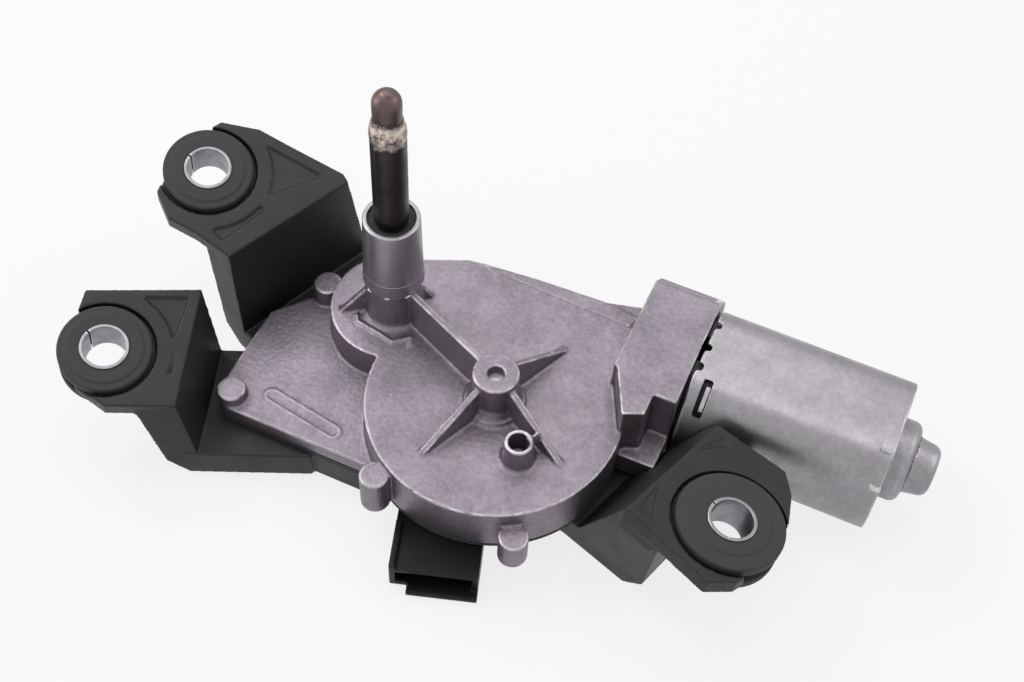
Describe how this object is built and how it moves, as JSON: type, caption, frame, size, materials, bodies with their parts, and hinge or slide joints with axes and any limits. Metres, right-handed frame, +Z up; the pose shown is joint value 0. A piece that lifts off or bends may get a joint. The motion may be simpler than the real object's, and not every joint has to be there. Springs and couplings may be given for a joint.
{
  "type": "rear window wiper motor",
  "caption": "Wiper motor with worm gearbox, upright pivot shaft in a sleeve, round motor can and black three-armed bracket with rubber bushes.",
  "frame": {"origin": "where the output shaft's axis meets the mounting bracket's back face", "axes": "+Z up along the output shaft towards its tip, +X along the motor's axis away from the gearbox"},
  "size_m": [0.2369, 0.1132, 0.115],
  "materials": {
    "cast_alloy": "cast, fine grain",
    "machined_alloy": "machined",
    "spacer_alloy": "bright",
    "bronze": "sintered",
    "bright_steel": "ground",
    "dark_steel": "oiled, worn",
    "gear_steel": "machined",
    "laminated_steel": "laminated",
    "zinc_steel": "zinc plated",
    "screw_steel": "plated",
    "copper": "bare",
    "brass": "bare",
    "magnet": "sintered",
    "carbon": "pressed",
    "gear_plastic": "moulded",
    "card_plastic": "moulded",
    "black_plastic": "fine grain",
    "relay_plastic": "moulded",
    "board_laminate": "coated",
    "mount_rubber": "matte",
    "seal_rubber": "matte",
    "gasket_rubber": "matte"
  },
  "bodies": {
    "casing": {"gear_housing": "cast_alloy", "pivot_sleeve": "machined_alloy", "lower_shaft_bush": "bronze", "upper_shaft_bush": "bronze", "shaft_seal": "seal_rubber", "thrust_washer": "bright_steel", "sector_pin": "bright_steel", "wheel_axle": "bright_steel", "motor_can": "zinc_steel", "can_clip": "bright_steel", "rear_bush": "bronze", "tail_bush": "bronze", "front_bearing": "bright_steel", "left_magnet": "magnet", "right_magnet": "magnet", "brush_card": "card_plastic", "brushes": "carbon", "mounting_bracket": "black_plastic", "grommet_left": "mount_rubber", "spacer_left": "spacer_alloy", "grommet_upper": "mount_rubber", "spacer_upper": "spacer_alloy", "grommet_right": "mount_rubber", "spacer_right": "spacer_alloy", "cover_gasket": "gasket_rubber", "housing_screws": "screw_steel", "connector_shell": "black_plastic", "terminal_pins": "brass", "control_board": "board_laminate", "board_posts": "black_plastic", "relay": "relay_plastic", "choke": "copper"},
    "armature": {"armature_shaft": "bright_steel", "armature_core": "laminated_steel", "armature_coils": "copper", "commutator": "copper"},
    "wheel": {"worm_wheel": "gear_plastic", "crank_pin": "bright_steel", "parking_ring": "copper"},
    "rod": {"connecting_rod": "gear_steel"},
    "sector": {"sector_gear": "gear_steel"},
    "output": {"output_shaft": "dark_steel", "shaft_collar": "bright_steel", "output_pinion": "gear_steel"}
  },
  "joints": [
    {"name": "wheel_spin", "type": "hinge", "parent": "casing", "child": "wheel", "pos_m": [0.0405, -0.018, 0.019], "axis": [0, 0, 1], "continuous": true},
    {"name": "armature_spin", "type": "hinge", "parent": "casing", "child": "armature", "pos_m": [0.1, 0.0185, 0.019], "axis": [1, 0, 0], "continuous": true},
    {"name": "rod_swing", "type": "hinge", "parent": "wheel", "child": "rod", "pos_m": [0.0434, -0.02529, 0.0115], "axis": [0, 0, 1], "continuous": true},
    {"name": "output_swing", "type": "hinge", "parent": "casing", "child": "output", "pos_m": [0, 0, 0.03], "axis": [0, 0, 1], "range_deg": [-55, 55]},
    {"name": "sector_swing", "type": "hinge", "parent": "casing", "child": "sector", "pos_m": [-0.012, -0.02078, 0.007], "axis": [0, 0, 1], "range_deg": [-27.5, 27.5]}
  ],
  "couplings": [
    {"joint": "armature_spin", "follows": "wheel_spin", "ratio": 64},
    {"joint": "rod_swing", "follows": "wheel_spin", "ratio": -1},
    {"joint": "sector_swing", "follows": "output_swing", "ratio": -0.5}
  ]
}
